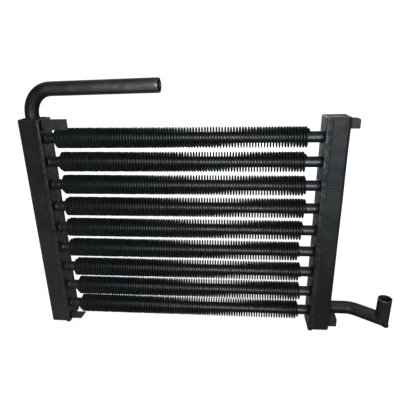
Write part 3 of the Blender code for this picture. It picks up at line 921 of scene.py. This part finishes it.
def stub_wear(reach):
    """Painted glints on the mouth's rim and painted fill light a little way inside it, from places above the
    corner.
    """
    below = STUB_HEIGHT - reach[:, 2]
    around = np.degrees(np.arctan2(reach[:, 1], reach[:, 0]))
    glints = sum(
        size * np.exp(-(((around - bearing + 180) % 360 - 180) / spread) ** 2)
        for bearing, spread, size in RIM_GLINTS)
    rim = np.clip(1 - below / 0.0007, 0, 1) * (0.08 + glints)
    inside = np.hypot(reach[:, 0], reach[:, 1]) < OUTLET_RADIUS - 0.0012
    return np.where(inside, 0.05 * np.clip(1 - below / 0.014, 0, 1), rim)


def build_outlet():
    """Out of the right header's outer side and bent forward, with a stub mitred on its end."""
    out = RIGHT * math.cos(OUTLET_ANGLE) + FRONT * math.sin(OUTLET_ANGLE)
    foot = np.array([RIGHT_OUTER - OUTLET_DEPTH, 0.0, OUTLET_Z])
    turn_start = np.array([RIGHT_OUTER + OUTLET_LEAD, 0.0, OUTLET_Z])
    curve = bend_line(turn_start + FRONT * OUTLET_BEND, FRONT, RIGHT, OUTLET_BEND, OUTLET_ANGLE, 16)
    corner = curve[-1] + out * OUTLET_RUN
    plane = unit(out + UP)
    line = [foot, *straight(foot, turn_start, 0.003), *curve[1:], *straight(curve[-1], corner)]
    pipe = mitred(line, out, corner, plane)
    weld_centre = np.array([RIGHT_OUTER, 0.0, OUTLET_Z])
    weld = collar(weld_centre, RIGHT, -FRONT, OUTLET_RADIUS + COLLAR_OFF, 90, OUTLET_BEAD, 430)
    # Painted highlight on the bend and the slanted run: a lighter tone and more gloss
    wear = np.interp(
        np.concatenate([pipe[0], weld[0]])[:, 0], [0.44, 0.485, 0.50, 0.53], [0.0, 0.1, 0.3, 0.2])
    add_piece("outlet_pipe_bent", [pipe, weld], OUTLET, ["outlet_pipe"], "pipe_paint", wear=wear)
    stub_line = [corner, *straight(corner, corner + UP * STUB_HEIGHT, 0.003)]
    stub = mitred(stub_line, -UP, corner, plane)
    seam = mitre_weld(out, corner, plane)
    wear = np.concatenate([stub_wear(stub[0] - corner), np.zeros(len(seam[0]))])
    add_piece("outlet_stub_pipe", [stub, seam], STUB, ["outlet_stub"], "pipe_paint", wear=wear)


# ---- floor, light and camera

def seen_white(tree):
    """A factor that is 1 for camera, glossy and transmission rays, else 0."""
    path = node(tree, "ShaderNodeLightPath").outputs
    seen = combined(tree, "MAXIMUM", path["Is Camera Ray"], path["Is Glossy Ray"])
    return combined(tree, "MAXIMUM", seen, path["Is Transmission Ray"])


def build_floor():
    """A pale floor that looks white from afar and keeps the object's shadow."""
    reach, height = 30.0, -0.0002
    corners = [(x * reach, y * reach, height) for x, y in ((-1, -1), (1, -1), (1, 1), (-1, 1))]
    mesh = bpy.data.meshes.new("floor")
    mesh.from_pydata(corners, [], [(0, 1, 2, 3)])
    floor = bpy.data.objects.new("floor", mesh)
    bpy.context.scene.collection.objects.link(floor)
    material = bpy.data.materials.new("floor_pale")
    material.use_nodes = True
    tree = material.node_tree
    shader = tree.nodes["Principled BSDF"]
    shader.inputs["Base Color"].default_value = (0.42, 0.42, 0.42, 1.0)
    shader.inputs["Roughness"].default_value = 0.9
    shader.inputs["Specular IOR Level"].default_value = 0.0
    shader.inputs["Emission Color"].default_value = (1.0, 1.0, 1.0, 1.0)
    distance = node(tree, "ShaderNodeVectorMath", operation="LENGTH")
    tree.links.new(node(tree, "ShaderNodeTexCoord").outputs["Object"], distance.inputs[0])
    glow = ranged(tree, distance.outputs["Value"], 0.7, 2.2, 0.76, 0.97)
    tree.links.new(times(tree, seen_white(tree), glow), shader.inputs["Emission Strength"])
    material.cycles.emission_sampling = "NONE"
    mesh.materials.append(material)


def build_world():
    """White all round where it is seen, and dim where it lights the object."""
    world = bpy.data.worlds.new("studio")
    world.use_nodes = True
    tree = world.node_tree
    background = tree.nodes["Background"]
    background.inputs["Color"].default_value = (1.0, 1.0, 1.0, 1.0)
    strength = ranged(tree, seen_white(tree), 0.0, 1.0, 0.24, 1.0)
    tree.links.new(strength, background.inputs["Strength"])
    world.cycles.sampling_method = "NONE"
    bpy.context.scene.world = world


def soft_box(name, place, target, width, height, power, colour=(1.0, 1.0, 1.0)):
    """A rectangular lamp that faces its target."""
    data = bpy.data.lights.new(name, "AREA")
    data.shape = "RECTANGLE"
    data.size = width
    data.size_y = height
    data.energy = power
    data.color = colour
    lamp = bpy.data.objects.new(name, data)
    lamp.location = place
    lamp.rotation_euler = (Vector(target) - Vector(place)).to_track_quat("-Z", "Y").to_euler()
    bpy.context.scene.collection.objects.link(lamp)


def build_lamps():
    """Cool light from the front, and white light from above and behind."""
    core = (0.22, 0.0, 0.17)
    soft_box("key", (0.14, -1.5, 0.52), core, 0.5, 0.6, 24.0, (0.80, 0.91, 1.0))
    soft_box("fill_right", (0.66, -0.79, 0.28), (0.45, -0.02, 0.30), 0.30, 0.60, 6.0, (0.70, 0.84, 1.0))
    soft_box("top", (0.22, 0.3, 1.7), core, 1.2, 1.2, 5.0)
    soft_box("back", (0.3, 1.6, 0.7), core, 0.8, 0.8, 18.0)


def build_camera():
    """The place, turn and lens that give the photograph's view."""
    data = bpy.data.cameras.new("camera")
    data.sensor_width = 36.0
    data.lens = CAMERA_LENS
    data.shift_y = CAMERA_SHIFT
    data.clip_start = 0.01
    data.clip_end = 100.0
    camera = bpy.data.objects.new("camera", data)
    camera.location = CAMERA
    camera.rotation_euler = tuple(math.radians(angle) for angle in CAMERA_TURN)
    bpy.context.scene.collection.objects.link(camera)
    bpy.context.scene.camera = camera


build_core()
build_header(-1, "left", LEFT_FACE, LEFT_OUTER, 100)
build_header(1, "right", RIGHT_FACE, RIGHT_OUTER, 200)
build_brackets()
build_inlet()
build_outlet()
build_floor()
build_world()
build_lamps()
build_camera()
bpy.context.scene.view_settings.view_transform = "Standard"
